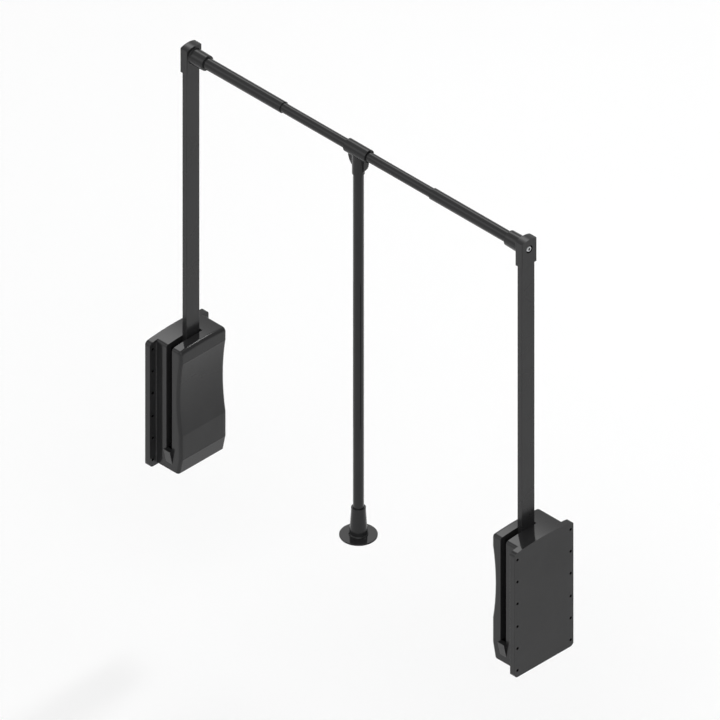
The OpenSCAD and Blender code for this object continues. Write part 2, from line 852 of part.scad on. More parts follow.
module crank_plate() {
    color("#8d9093")
        difference() {
            along_x(arm_x0 - crank_t, arm_x0 - fit_gap)
                translate([arm_y, pivot_z]) {
                    circle(d = 2 * hub_d);
                    rotate(-crank_a)
                        translate([0, -crank_arm_w / 2])
                            square([crank_r, crank_arm_w]);
                    translate([crank_r * cos(crank_a), -crank_r * sin(crank_a)])
                        circle(d = crank_arm_w);
                    translate([-crank_leg_r, 0])
                        square([2 * crank_leg_r, crank_leg]);
                    translate([0, crank_leg])
                        circle(r = crank_leg_r);
                }
            bar_x(arm_x0 - crank_t - cut, arm_x0 + cut, hub_d + 2 * fit_gap, arm_y, pivot_z);
            bar_x(arm_x0 - crank_t - cut, arm_x0 + cut, pin_d + 2 * fit_gap, pin_y, pin_z);
            for (up = rivet_places)
                bar_x(arm_x0 - crank_t - cut, arm_x0 + cut, rivet_d + 2 * fit_gap, arm_y, pivot_z + up);
        }
}

module crank_pin() {
    color("#b4b7ba") {
        bar_x(roller_x0 - side_gap - pin_head_t / 2, arm_x0 - side_gap, pin_d, pin_y, pin_z);
        bar_x(roller_x0 - side_gap - pin_head_t, roller_x0 - side_gap, roller_d - yoke_play, pin_y, pin_z);
    }
}

module crank_roller() {
    color("#e4e0d2")
        difference() {
            bar_x(roller_x0, roller_x1, roller_d, pin_y, pin_z);
            bar_x(roller_x0 - cut, roller_x1 + cut, pin_d + 2 * run_gap, pin_y, pin_z);
        }
}

module crank_rivets() {
    head_t = rivet_d / 3;
    x0 = arm_x0 - crank_t;
    color("#a4a7aa")
        for (up = rivet_places) {
            bar_x(x0 - head_t / 2, arm_x1 + head_t / 4, rivet_d, arm_y, pivot_z + up);
            bar_x(x0 - head_t, x0, 1.7 * rivet_d, arm_y, pivot_z + up);
            bar_x(arm_x1, arm_x1 + head_t / 2, 1.7 * rivet_d, arm_y, pivot_z + up);
        }
}

// Arms

module arm_tube() {
    foot_z = pivot_z - arm_w / 2;
    color("#1f1f20")
        difference() {
            intersection() {
                translate([arm_x, arm_y, foot_z])
                    linear_extrude(arm_top - foot_z)
                        difference() {
                            round_rect(arm_t, arm_w, arm_corner);
                            square([arm_t - 2 * arm_wall, arm_w - 2 * arm_wall], center = true);
                        }
                union() {
                    bar_x(arm_x0 - cut, arm_x1 + cut, arm_w, arm_y, pivot_z);
                    box(arm_x0 - cut, arm_x1 + cut, arm_y - arm_w / 2 - cut, arm_y + arm_w / 2 + cut,
                        pivot_z, arm_top + cut);
                }
            }
            bar_x(arm_x0 - cut, arm_x1 + cut, hub_d + 2 * fit_gap, arm_y, pivot_z);
            for (up = rivet_places)
                bar_x(arm_x0 - cut, arm_x1 + cut, rivet_d + 2 * fit_gap, arm_y, pivot_z + up);
            bar_x(arm_x0 - cut, arm_x1 + cut, screw_d + 2 * side_gap, arm_y, rail_h);
        }
}

// The block that fills the foot of the arm's tube
module arm_foot() {
    w = arm_w - 2 * arm_wall - 2 * fit_gap;
    t = arm_t / 2 - arm_wall - fit_gap;
    z1 = pivot_z + crank_leg + 2 * rivet_d;
    color("#5c5f62")
        difference() {
            union() {
                bar_x(arm_x - t, arm_x + t, w, arm_y, pivot_z);
                box(arm_x - t, arm_x + t, arm_y - w / 2, arm_y + w / 2, pivot_z, z1);
            }
            bar_x(arm_x0, arm_x1, hub_d + 2 * fit_gap, arm_y, pivot_z);
            for (up = rivet_places)
                bar_x(arm_x0, arm_x1, rivet_d + 2 * fit_gap, arm_y, pivot_z + up);
        }
}

// Top brackets and what fixes the rail to them

module top_bracket() {
    pocket = run_gap;
    rim_r = 1;
    edge_r = 1.2;
    root_r = socket_d / 2 + socket_taper;
    color("#1b1b1c")
        difference() {
            union() {
                intersection() {
                    along_x(bracket_x0, bracket_x1)
                        intersection() {
                            translate([arm_y - bracket_w / 2, rail_h - bracket_down])
                                square([bracket_w, bracket_down + bracket_up]);
                            translate([arm_y, rail_h + bracket_up - crown_r])
                                circle(r = crown_r);
                        }
                    translate([arm_x, arm_y, rail_h - bracket_down])
                        linear_extrude(bracket_down + bracket_up)
                            round_rect(bracket_t, bracket_w, edge_r);
                }
                turned_x(arm_y, rail_h)
                    polygon(concat(
                        [[0, arm_x], [root_r + socket_flare, arm_x]],
                        [for (i = [0 : 4])
                            [root_r + socket_flare * (1 - sin(22.5 * i)),
                                bracket_x1 + socket_flare * (1 - cos(22.5 * i))]],
                        [for (i = [0 : 4])
                            [socket_d / 2 - rim_r * (1 - cos(22.5 * i)), socket_x1 - rim_r * (1 - sin(22.5 * i))]],
                        [[0, socket_x1]]));
            }
            box(arm_x0 - pocket, arm_x1 + pocket, arm_y - arm_w / 2 - pocket, arm_y + arm_w / 2 + pocket,
                rail_h - bracket_down - cut, arm_top + side_gap);
            bar_x(rail_x0 - fit_gap, socket_x1 + cut, outer_d + 2 * fit_gap, arm_y, rail_h);
            bar_x(arm_x, rail_x0, screw_d + 2 * side_gap, arm_y, rail_h);
            bar_x(bracket_x0 - cut, arm_x, recess_d, arm_y, rail_h);
        }
}

module rail_screw() {
    x0 = arm_x0 - head_t;
    color("#d8dadc")
        difference() {
            union() {
                turned_x(arm_y, rail_h)
                    polygon([[0, x0], [0.4 * head_d, x0], [head_d / 2, x0 + head_t / 3],
                        [head_d / 2, arm_x0 - fit_gap], [0, arm_x0 - fit_gap]]);
                bar_x(arm_x0 - head_t / 2, rail_x0 + 0.8 * nut_l, screw_d, arm_y, rail_h);
            }
            bar_x(x0 - cut, arm_x0 + head_t / 2, hex_d, arm_y, rail_h, $fn = 6);
        }
}

module rail_nut() {
    color("#8d9093")
        difference() {
            bar_x(rail_x0, rail_x0 + nut_l, outer_in - 2 * fit_gap, arm_y, rail_h);
            bar_x(rail_x0 - cut, rail_x0 + nut_l + cut, screw_d + 2 * fit_gap, arm_y, rail_h);
        }
}

// The telescopic rail

module tube_x(x0, x1, d, wall) {
    difference() {
        bar_x(x0, x1, d, arm_y, rail_h);
        bar_x(x0 - cut, x1 + cut, d - 2 * wall, arm_y, rail_h);
    }
}

module outer_tube() {
    color("#1e1e1f")
        tube_x(rail_x0, outer_end, outer_d, outer_wall);
}

module slide_bush() {
    color("#141414")
        difference() {
            union() {
                bar_x(outer_end - bush_l, outer_end + bush_rim, outer_in - 2 * fit_gap, arm_y, rail_h);
                bar_x(outer_end, outer_end + bush_rim, outer_d, arm_y, rail_h);
            }
            bar_x(outer_end - bush_l - cut, outer_end + bush_rim + cut,
                centre_d + 2 * run_gap, arm_y, rail_h);
        }
}

module centre_tube() {
    color("#1e1e1f")
        tube_x(mid_x - centre_l / 2, mid_x + centre_l / 2, centre_d, centre_wall);
}

// The pull pole

// Half of the tee's web, from the sleeve down to the neck, as shares of its size
web_shares = [[1, 0], [1, 0.14], [0.97, 0.3], [0.9, 0.45], [0.8, 0.58], [0.68, 0.7], [0.52, 0.86], [0.4, 1]];

module tee_sleeve() {
    web_h = 0.68 * neck_l;
    half = [for (s = web_shares) [web_w * s[0], rail_h - 0.95 * neck_l + web_h * (1 - s[1])]];
    rim_r = 0.5;
    recess_r = tee_d / 2 - 2 * rim_r;
    color("#202021")
        difference() {
            union() {
                turned_x(arm_y, rail_h)
                    polygon([[0, mid_x - tee_l / 2],
                        [tee_d / 2 - rim_r, mid_x - tee_l / 2], [tee_d / 2, mid_x - tee_l / 2 + rim_r],
                        [tee_d / 2, mid_x + tee_l / 2 - rim_r], [tee_d / 2 - rim_r, mid_x + tee_l / 2],
                        [0, mid_x + tee_l / 2]]);
                translate([mid_x, arm_y, rail_h - neck_l])
                    cylinder(h = neck_l, d = neck_d);
                along_y(arm_y - web_t / 2, arm_y + web_t / 2)
                    translate([mid_x, 0])
                        polygon(concat(
                            [for (p = half) p],
                            [for (i = [len(half) - 1 : -1 : 0]) [-half[i][0], half[i][1]]]));
            }
            bar_x(mid_x - tee_l, mid_x + tee_l, centre_d + 2 * run_gap, arm_y, rail_h);
            bar_x(mid_x - tee_l, mid_x - tee_l / 2 + tee_recess, 2 * recess_r, arm_y, rail_h);
            bar_x(mid_x + tee_l / 2 - tee_recess, mid_x + tee_l, 2 * recess_r, arm_y, rail_h);
            translate([mid_x, arm_y, rail_h - neck_l - cut])
                cylinder(h = pole_z1 - rail_h + neck_l + cut + fit_gap, d = pole_d + 2 * fit_gap);
            tee_screw_cut(2 * fit_gap);
        }
}

module tee_screw_cut(gap) {
    translate([mid_x, arm_y + pole_d / 4, tee_screw_z])
        rotate([-90, 0, 0])
            cylinder(h = neck_d, d = tee_screw_d + gap, $fn = small_fn);
}

module tee_screw() {
    head_t = 1.6;
    seat_y = arm_y + neck_d / 2;
    color("#c3c6c8")
        translate([mid_x, seat_y, tee_screw_z])
            rotate([-90, 0, 0])
                difference() {
                    union() {
                        translate([0, 0, -neck_d / 2 + pole_d / 3])
                            cylinder(h = neck_d / 2 - pole_d / 3 + head_t / 2, d = tee_screw_d, $fn = small_fn);
                        cylinder(h = head_t, d = 1.8 * tee_screw_d, $fn = small_fn);
                    }
                    translate([0, 0, head_t / 2])
                        cylinder(h = head_t, d = tee_screw_d / 2, $fn = 6);
                }
}

module pole_tube() {
    color("#1e1e1f")
        difference() {
            translate([mid_x, arm_y, pole_z0])
                difference() {
                    cylinder(h = pole_z1 - pole_z0, d = pole_d);
                    translate([0, 0, -cut])
                        cylinder(h = pole_z1 - pole_z0 + 2 * cut, d = pole_d - 2 * pole_wall);
                }
            tee_screw_cut(2 * fit_gap);
        }
}

// Outline of the bell: how far it stands out from its top radius, and how high
bell_shares = [[1, 0], [1, 0.01], [0.965, 0.022], [0.86, 0.036], [0.721, 0.048], [0.674, 0.06],
    [0.663, 0.09], [0.651, 0.15], [0.628, 0.21], [0.581, 0.26], [0.488, 0.34], [0.395, 0.42],
    [0.29, 0.55], [0.174, 0.68], [0.07, 0.84], [0, 0.985]];
grip_screw_d = 5;
grip_head_d = 10;

module grip_bell() {
    lip = 1;
    color("#202021")
        difference() {
            translate([mid_x, arm_y, disc_z])
                rotate_extrude()
                    polygon(concat(
                        [[0, 0]],
                        [for (s = bell_shares) [bell_top_r + s[0] * (bell_foot_r - bell_top_r), s[1] * bell_h]],
                        [[bell_top_r - lip, bell_h], [0, bell_h]]));
            translate([mid_x, arm_y, disc_z + bell_core])
                cylinder(h = bell_h, d = pole_d + 2 * fit_gap);
            translate([mid_x, arm_y, disc_z - cut])
                cylinder(h = bell_core + 2 * cut, d = grip_screw_d + 2 * fit_gap);
        }
}

module grip_disc() {
    edge_r = 0.25 * disc_t;
    edge_y = disc_d / 2 - edge_r;
    color("#252526")
        difference() {
            translate([mid_x, arm_y, disc_z - disc_t])
                rotate_extrude()
                    polygon(concat(
                        [[0, 0]],
                        [for (a = [-90 : 22.5 : 0]) [edge_y + edge_r * cos(a), edge_r + edge_r * sin(a)]],
                        [for (a = [0 : 22.5 : 90]) [edge_y + edge_r * cos(a), disc_t - edge_r + edge_r * sin(a)]],
                        [[0, disc_t]]));
            translate([mid_x, arm_y, disc_z - disc_t - cut])
                cylinder(h = disc_t + 2 * cut, d = grip_screw_d + 2 * fit_gap);
            translate([mid_x, arm_y, disc_z - disc_t - cut])
                cylinder(h = disc_t / 2 + cut, d = grip_head_d + 2 * side_gap);
        }
}

module grip_screw() {
    color("#c3c6c8")
        difference() {
            translate([mid_x, arm_y, disc_z - disc_t]) {
                cylinder(h = disc_t / 2 - fit_gap, d = grip_head_d);
                cylinder(h = disc_t + 0.8 * bell_core, d = grip_screw_d);
            }
            translate([mid_x, arm_y, disc_z - disc_t - cut])
                cylinder(h = disc_t / 3 + cut, d = grip_screw_d / 2, $fn = 6);
        }
}

wall_plate();  // left_wall_plate
cover();  // left_cover
arm_rest();  // left_arm_rest
rest_buffer();  // left_rest_buffer
inner_cheek();  // left_inner_cheek
cheek_posts();  // left_cheek_posts
cheek_screws();  // left_cheek_screws
pivot_bushes();  // left_pivot_bushes
rotary_damper();  // left_rotary_damper
damper_screws();  // left_damper_screws
spring_seat();  // left_spring_seat
lift_spring();  // left_lift_spring
spring_pusher();  // left_spring_pusher
pivot_shaft();  // left_pivot_shaft
arm_tube();  // left_arm_tube
arm_foot();  // left_arm_foot
arm_hub();  // left_arm_hub
crank_plate();  // left_crank_plate
crank_pin();  // left_crank_pin
crank_roller();  // left_crank_roller
crank_rivets();  // left_crank_rivets
top_bracket();  // left_top_bracket
rail_screw();  // left_rail_screw
rail_nut();  // left_rail_nut
outer_tube();  // left_outer_tube
slide_bush();  // left_slide_bush
on_right() wall_plate();  // right_wall_plate
on_right() cover();  // right_cover
on_right() arm_rest();  // right_arm_rest
on_right() rest_buffer();  // right_rest_buffer
on_right() inner_cheek();  // right_inner_cheek
on_right() cheek_posts();  // right_cheek_posts
on_right() cheek_screws();  // right_cheek_screws
on_right() pivot_bushes();  // right_pivot_bushes
on_right() rotary_damper();  // right_rotary_damper
on_right() damper_screws();  // right_damper_screws
on_right() spring_seat();  // right_spring_seat
on_right() lift_spring();  // right_lift_spring
on_right() spring_pusher();  // right_spring_pusher
on_right() pivot_shaft();  // right_pivot_shaft
on_right() arm_tube();  // right_arm_tube
on_right() arm_foot();  // right_arm_foot
on_right() arm_hub();  // right_arm_hub
on_right() crank_plate();  // right_crank_plate
on_right() crank_pin();  // right_crank_pin
on_right() crank_roller();  // right_crank_roller
on_right() crank_rivets();  // right_crank_rivets
on_right() top_bracket();  // right_top_bracket
on_right() rail_screw();  // right_rail_screw
on_right() rail_nut();  // right_rail_nut
on_right() outer_tube();  // right_outer_tube
on_right() slide_bush();  // right_slide_bush
centre_tube();
tee_sleeve();
tee_screw();
pole_tube();
grip_bell();
grip_disc();
grip_screw();
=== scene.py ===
"""Looks, light and camera for the pull down closet rod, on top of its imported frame."""

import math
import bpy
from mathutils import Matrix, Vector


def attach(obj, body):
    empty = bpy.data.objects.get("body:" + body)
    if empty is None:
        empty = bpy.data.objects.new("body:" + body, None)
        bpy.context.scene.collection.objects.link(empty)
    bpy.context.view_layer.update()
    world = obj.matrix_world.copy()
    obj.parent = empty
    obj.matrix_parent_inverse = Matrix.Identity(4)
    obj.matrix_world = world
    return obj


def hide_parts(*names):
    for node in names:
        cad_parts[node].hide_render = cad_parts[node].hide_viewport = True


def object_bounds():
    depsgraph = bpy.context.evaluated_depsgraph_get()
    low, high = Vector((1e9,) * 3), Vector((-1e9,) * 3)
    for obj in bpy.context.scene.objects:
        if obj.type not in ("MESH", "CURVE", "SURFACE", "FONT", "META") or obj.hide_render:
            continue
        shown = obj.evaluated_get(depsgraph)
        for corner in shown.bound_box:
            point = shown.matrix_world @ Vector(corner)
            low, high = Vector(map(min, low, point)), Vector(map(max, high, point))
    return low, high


bl_info = {
    "name": "Pull down closet rod",
    "version": (1, 0, 0),
    "blender": (4, 5, 0),
    "location": "View3D > Sidebar > Closet rod",
    "description": "Dresses the packed closet rod and sets up its stage",
    "category": "Object",
}

import bmesh
import bpy
from bpy.props import FloatProperty, FloatVectorProperty, IntProperty, PointerProperty
from mathutils import Matrix, Vector

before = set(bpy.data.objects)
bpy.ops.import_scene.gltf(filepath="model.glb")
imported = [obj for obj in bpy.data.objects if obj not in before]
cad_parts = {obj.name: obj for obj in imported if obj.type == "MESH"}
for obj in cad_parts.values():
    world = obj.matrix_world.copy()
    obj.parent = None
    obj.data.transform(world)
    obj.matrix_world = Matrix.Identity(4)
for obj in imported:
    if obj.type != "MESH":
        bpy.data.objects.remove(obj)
CAD_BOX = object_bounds()

MIDDLE = (CAD_BOX[0][0] + CAD_BOX[1][0]) / 2
SIDES = ("left", "right")

# Soft lights of the studio: direction, strength above the base, cosine at the edge, falloff
SKY_LIGHTS = (((-0.577, 0.432, 0.692), 3.0, 0.9, 5.0), ((-0.577, -0.65, 0.49), 1.05, 0.87, 4.0),
              ((0.577, -0.577, 0.577), 1.5, 0.76, 1.5))
SKY_SIDE = (-0.7, -0.2, 0.68)
SKY_RAMP = (-0.2, 0.6)
SKY_DARK = 0.42
SKY_PALE = 0.78

# The key lamp, the camera and the floor: sizes and places in metres
LAMP_AIM = (MIDDLE, 0.0, 0.3)
LAMP_DIRECTION = (-0.2, 0.577, 0.79)
LAMP_DISTANCE = 3.0
LAMP_WIDTH = 0.35
LAMP_LENGTH = 0.7
LAMP_POWER = 12.0
CAMERA_AIM = (0.4467, 0.0, 0.2787)
CAMERA_AZIMUTH = 45.0
CAMERA_DISTANCE = 3.0
CAMERA_REACH = 50.0
PICTURE_WIDTH = 1.2259
FLOOR_DROP = 0.35
FLOOR_HALF = 9.0

# How strongly each kind of finish mirrors: its index of refraction
GLOSS_IOR = 1.35
TUBE_IOR = 1.322
GRIP_IOR = 1.3
# The rim's low value is part of the painted shade on the disc's rim
RIM_IOR = 1.2
SHADE_IOR = 1.08

# Worn edges, and how deep the faint ripple and grain of the surfaces go, in metres
WORN_BRIGHTER = 2.4
WORN_ROUGHER = 0.08
RIPPLE_DEPTH = 0.00004
GRAIN_DEPTH = 0.00003

# Dull blacks of the rubber and the damper, and the painted shade of the small hollows and the hex sockets:
# near-black colours put where shade falls
RUBBER_BLACK = (0.012, 0.012, 0.012)
DAMPER_BLACK = (0.02, 0.02, 0.021)
HOLLOW_PAINTED_SHADE = (0.004, 0.004, 0.004)
SOCKET_PAINTED_SHADE = (0.002, 0.002, 0.002)

# Edge softening of small parts, and how far a cut runs past a face, in metres
TUBE_EDGE = 0.00025
BUSH_EDGE = 0.00015
SCREW_EDGE = 0.00012
OVERRUN = 0.001
# The cover is shaded smooth across edges up to this many degrees
SHARP_ANGLE = 8.5

# Places and reach of the hollows that get painted shade, and of the disc's rim that gets a duller
# painted-shade finish, in metres
HOLE_COLUMN = 0.064
HOLE_ROWS = (0.0237, 0.0694, 0.1151)
HOLE_RADIUS = 0.00272
RAIL_AXIS = (-0.002, 0.7155)
HEX_RADIUS = 0.003
RECESS_RADIUS = 0.0075
RIM_DEPTH = 0.0003

STEEL_NODES = ("inner_cheek", "cheek_posts", "spring_seat", "pivot_shaft", "arm_foot", "arm_hub",
               "crank_plate", "crank_pin", "crank_rivets", "rail_nut", "spring_pusher")
SCREW_NODES = ("cheek_screws", "damper_screws", "rail_screw")
BEARING_NODES = ("pivot_bushes", "crank_roller")


class ClosetRodSettings(bpy.types.PropertyGroup):
    """Sizes and colours of the dressed closet rod."""

    unit_width: FloatProperty(
        name="Unit width", description="Across both units, from wall to wall",
        default=0.89, min=0.8, max=1.2, subtype="DISTANCE")
    plate_thick: FloatProperty(
        name="Plate thickness", description="Thickness of the plate against the wall",
        default=0.0115, min=0.005, max=0.02, subtype="DISTANCE")
    plate_depth: FloatProperty(
        name="Plate depth", description="Size of the plate from front to rear",
        default=0.142, min=0.1, max=0.2, subtype="DISTANCE")
    top_drop: FloatProperty(
        name="Drop of the arched top", description="How far the arched top falls from its middle to its ends",
        default=0.0048, min=0.0005, max=0.01, subtype="DISTANCE")
    case_thick: FloatProperty(
        name="Casing thickness", description="From the wall to the cover's broad face",
        default=0.071, min=0.04, max=0.09, subtype="DISTANCE")
    case_depth: FloatProperty(
        name="Casing depth", description="Size of the cover from front to rear",
        default=0.1112, min=0.06, max=0.16, subtype="DISTANCE")
    case_bottom: FloatProperty(
        name="Casing bottom", description="Height of the cover's foot, from the middle of the screw holes",
        default=-0.1245, min=-0.2, max=0.0, subtype="DISTANCE")
    case_top: FloatProperty(
        name="Casing top", description="Height of the cover's top, from the middle of the screw holes",
        default=0.1338, min=0.0, max=0.2, subtype="DISTANCE")
    case_wall: FloatProperty(
        name="Casing wall", description="Thickness of the cover's walls",
        default=0.003, min=0.001, max=0.005, subtype="DISTANCE")
    case_corner: FloatProperty(
        name="Casing corner radius", description="Rounding between the broad face and the front and rear",
        default=0.006, min=0.001, max=0.015, subtype="DISTANCE")
    case_top_round: FloatProperty(
        name="Top radius at the broad face", description="Rounding between the top and the broad face",
        default=0.007, min=0.001, max=0.012, subtype="DISTANCE")
    case_end_round: FloatProperty(
        name="Top radius at front and rear", description="Rounding between the top and the front and rear",
        default=0.005, min=0.0005, max=0.006, subtype="DISTANCE")
    case_foot_round: FloatProperty(
        name="Casing foot radius", description="Rounding at the foot",
        default=0.002, min=0.0005, max=0.005, subtype="DISTANCE")
    foot_height: FloatProperty(
        name="Slanting foot height", description="Height of the slanting part of the broad face",
        default=0.031, min=0.005, max=0.04, subtype="DISTANCE")
    foot_inset: FloatProperty(
        name="Slanting foot inset", description="How far the broad face draws in at the foot",
        default=0.0065, min=0.001, max=0.02, subtype="DISTANCE")
    waist_start: FloatProperty(
        name="Waist start", description="Height where the waist begins, from the middle of the screw holes",
        default=-0.0435, min=-0.1, max=0.05, subtype="DISTANCE")
    waist_height: FloatProperty(
        name="Waist height", description="Height of the hollow waist",
        default=0.15, min=0.05, max=0.2, subtype="DISTANCE")
    waist_depth: FloatProperty(
        name="Waist depth", description="How far the waist is hollowed",
        default=0.0063, min=0.0005, max=0.015, subtype="DISTANCE")
    slot_left: FloatProperty(
        name="Slot from the wall", description="From the wall to the nearer side of the arm's slot",
        default=0.036, min=0.02, max=0.05, subtype="DISTANCE")
    slot_width: FloatProperty(
        name="Slot width", description="Width of the arm's slot",
        default=0.0136, min=0.008, max=0.02, subtype="DISTANCE")
    slot_rear: FloatProperty(
        name="Slot rear end", description="How far the slot runs behind the middle of the plate",
        default=0.0179, min=0.0, max=0.04, subtype="DISTANCE")
    slot_foot: FloatProperty(
        name="Slot foot", description="Height of the slot's lower end, from the middle of the screw holes",
        default=-0.0815, min=-0.12, max=0.0, subtype="DISTANCE")
    lip_thick: FloatProperty(
        name="Slot lip thickness", description="Thickness of the lips that line the slot",
        default=0.0018, min=0.0005, max=0.003, subtype="DISTANCE")
    lip_deep: FloatProperty(
        name="Slot lip depth", description="How far the lips reach into the cover",
        default=0.009, min=0.002, max=0.015, subtype="DISTANCE")
    corner_steps: IntProperty(
        name="Steps round a corner", description="Number of steps round each corner",
        default=14, min=4, max=32)
    arch_steps: IntProperty(
        name="Steps along the arched top", description="Number of steps along the arched top",
        default=20, min=4, max=64)
    waist_steps: IntProperty(
        name="Steps along the waist", description="Number of steps along the waist",
        default=40, min=8, max=96)
    edge_width: FloatProperty(
        name="Edge softening", description="Rounding of the moulded pieces' sharp edges",
        default=0.00035, min=0.00005, max=0.001, subtype="DISTANCE")
    hole_rim: FloatProperty(
        name="Plate edge softening", description="Rounding of the wall plates' edges and screw holes",
        default=0.00018, min=0.00005, max=0.0005, subtype="DISTANCE")
    black: FloatVectorProperty(
        name="Black", description="Colour of the glossy plastic and tubes",
        subtype="COLOR", size=3, default=(0.018, 0.018, 0.0185))
    arm_black: FloatVectorProperty(
        name="Arm black", description="Colour of the painted arms",
        subtype="COLOR", size=3, default=(0.0165, 0.0165, 0.017))
    steel: FloatVectorProperty(
        name="Steel", description="Colour of the steel pieces inside",
        subtype="COLOR", size=3, default=(0.42, 0.43, 0.44))
    bright: FloatVectorProperty(
        name="Bright screws", description="Colour of the plated screws",
        subtype="COLOR", size=3, default=(0.5, 0.51, 0.52))
    bearing: FloatVectorProperty(
        name="Bearing plastic", description="Colour of the bearings",
        subtype="COLOR", size=3, default=(0.62, 0.59, 0.5))
    floor_tone: FloatProperty(
        name="Floor tone", description="Brightness of the floor",
        default=0.985, min=0.1, max=1.0, subtype="FACTOR")


def settings():
    return bpy.context.scene.closet_rod


# Materials


class Nodes:
    """A short way to lay out one material's nodes."""

    def __init__(self, material):
        material.use_nodes = True
        self.tree = material.node_tree
        self.tree.nodes.clear()

    def add(self, kind, **values):
        node = self.tree.nodes.new(kind)
        for key, value in values.items():
            if hasattr(node, key):
                setattr(node, key, value)
            else:
                node.inputs[key.replace("_", " ")].default_value = value
        return node

    def link(self, source, target):
        self.tree.links.new(source, target)

    def noise(self, scale, detail=2.0, roughness=0.5, stretch=None):
        """Noise in object space: scale is in lumps per metre."""
        place = self.add("ShaderNodeTexCoord")
        source = place.outputs["Object"]
        if stretch:
            mapping = self.add("ShaderNodeMapping")
            mapping.inputs["Scale"].default_value = stretch
            self.link(source, mapping.inputs["Vector"])
            source = mapping.outputs["Vector"]
        noise = self.add("ShaderNodeTexNoise")
        noise.inputs["Scale"].default_value = scale
        noise.inputs["Detail"].default_value = detail
        noise.inputs["Roughness"].default_value = roughness
        self.link(source, noise.inputs["Vector"])
        return noise.outputs["Fac"]

    def spread(self, value, low, high, start=0.3, end=0.7):
        """Maps a value between start and end to between low and high."""
        node = self.add("ShaderNodeMapRange")
        for key, number in (("From Min", start), ("From Max", end), ("To Min", low), ("To Max", high)):
            node.inputs[key].default_value = number
        self.link(value, node.inputs["Value"])
        return node.outputs["Result"]

    def tint(self, value, low, high):
        """Mixes from one colour to another by a value from 0 to 1."""
        node = self.add("ShaderNodeMix", data_type="RGBA")
        self.link(value, node.inputs["Factor"])
        node.inputs["A"].default_value = (*low, 1.0)
        node.inputs["B"].default_value = (*high, 1.0)
        return node.outputs["Result"]

    def edges(self, radius):
        """1 near sharp outer edges and 0 on flats, with its strength broken up by noise."""
        bevel = self.add("ShaderNodeBevel", samples=4)
        bevel.inputs["Radius"].default_value = radius
        flat = self.add("ShaderNodeNewGeometry")
        dot = self.add("ShaderNodeVectorMath", operation="DOT_PRODUCT")
        self.link(bevel.outputs["Normal"], dot.inputs[0])
        self.link(flat.outputs["Normal"], dot.inputs[1])
        edge = self.spread(dot.outputs["Value"], 1.0, 0.0, 0.86, 0.99)
        broken = self.spread(self.noise(240.0, 4.0), 0.0, 1.0, 0.4, 0.65)
        both = self.add("ShaderNodeMath", operation="MULTIPLY")
        self.link(edge, both.inputs[0])
        self.link(broken, both.inputs[1])
        return both.outputs["Value"]

    def bump(self, value, strength, distance):
        node = self.add("ShaderNodeBump")
        node.inputs["Strength"].default_value = strength
        node.inputs["Distance"].default_value = distance
        self.link(value, node.inputs["Height"])
        return node.outputs["Normal"]

    def finish(self, color, rough, normal=None, metallic=0.0, ior=1.5):
        shader = self.add("ShaderNodeBsdfPrincipled")
        output = self.add("ShaderNodeOutputMaterial")
        self.link(color, shader.inputs["Base Color"])
        self.link(rough, shader.inputs["Roughness"])
        shader.inputs["Metallic"].default_value = metallic
        shader.inputs["IOR"].default_value = ior
        if normal:
            self.link(normal, shader.inputs["Normal"])
        self.link(shader.outputs["BSDF"], output.inputs["Surface"])


def scaled(color, factor):
    return tuple(min(1.0, channel * factor) for channel in color)


def gloss_black(name, color, rough, ripple=0.05, wear=0.0006, ior=GLOSS_IOR):
    """Glossy black plastic or paint: near-mirror, with faint moulding ripple and thin handled edges."""
    material = bpy.data.materials.new(name)
    n = Nodes(material)
    base = n.tint(n.spread(n.noise(14.0, 3.0), 0.0, 1.0), scaled(color, 0.9), scaled(color, 1.12))
    worn = n.add("ShaderNodeMix", data_type="RGBA")
    edge = n.edges(wear)
    n.link(edge, worn.inputs["Factor"])
    n.link(base, worn.inputs["A"])
    worn.inputs["B"].default_value = (*scaled(color, WORN_BRIGHTER), 1.0)
    rough_worn = n.add("ShaderNodeMath", operation="MULTIPLY_ADD")
    n.link(edge, rough_worn.inputs[0])
    rough_worn.inputs[1].default_value = WORN_ROUGHER
    n.link(n.spread(n.noise(55.0, 5.0, 0.6), *rough), rough_worn.inputs[2])
    normal = n.bump(n.noise(170.0, 1.0), ripple, RIPPLE_DEPTH)
    n.finish(worn.outputs["Result"], rough_worn.outputs["Value"], normal, ior=ior)
    return material


def tube_black(name, color):
    """The near-mirror black of the round tubes."""
    return gloss_black(name, color, rough=(0.03, 0.055), ripple=0.03, wear=0.0004, ior=TUBE_IOR)


def brushed_metal(name, color, rough, stretch, grain):
    """Plain or plated steel with fine drawn grain along one direction."""
    material = bpy.data.materials.new(name)
    n = Nodes(material)
    tone = n.spread(n.noise(30.0, 4.0), 0.0, 1.0)
    base = n.tint(tone, scaled(color, 0.82), scaled(color, 1.1))
    streaks = n.noise(420.0, 3.0, 0.6, stretch)
    n.finish(base, n.spread(streaks, *rough), n.bump(streaks, grain, GRAIN_DEPTH), metallic=1.0)
    return material


def matte_plastic(name, color, rough, ior=1.5):
    """Moulded plastic or rubber with a fine skin, also used for the painted shade of small hollows."""
    material = bpy.data.materials.new(name)
    n = Nodes(material)
    base = n.tint(n.spread(n.noise(45.0, 4.0), 0.0, 1.0), scaled(color, 0.86), scaled(color, 1.1))
    grain = n.bump(n.noise(1400.0, 2.0), 0.12, GRAIN_DEPTH)
    n.finish(base, n.spread(n.noise(160.0, 3.0), *rough), grain, ior=ior)
    return material


def paint(node, material):
    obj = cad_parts[node]
    obj.data.materials.clear()
    obj.data.materials.append(material)
    return obj


def darken(obj, material, inside):
    """Paints shade: gives a shade material to the faces whose middle lies inside a hollow, or past the disc's
    rim.
    """
    obj.data.materials.append(material)
    for face in obj.data.polygons:
        if inside(face.center):
            face.material_index = 1


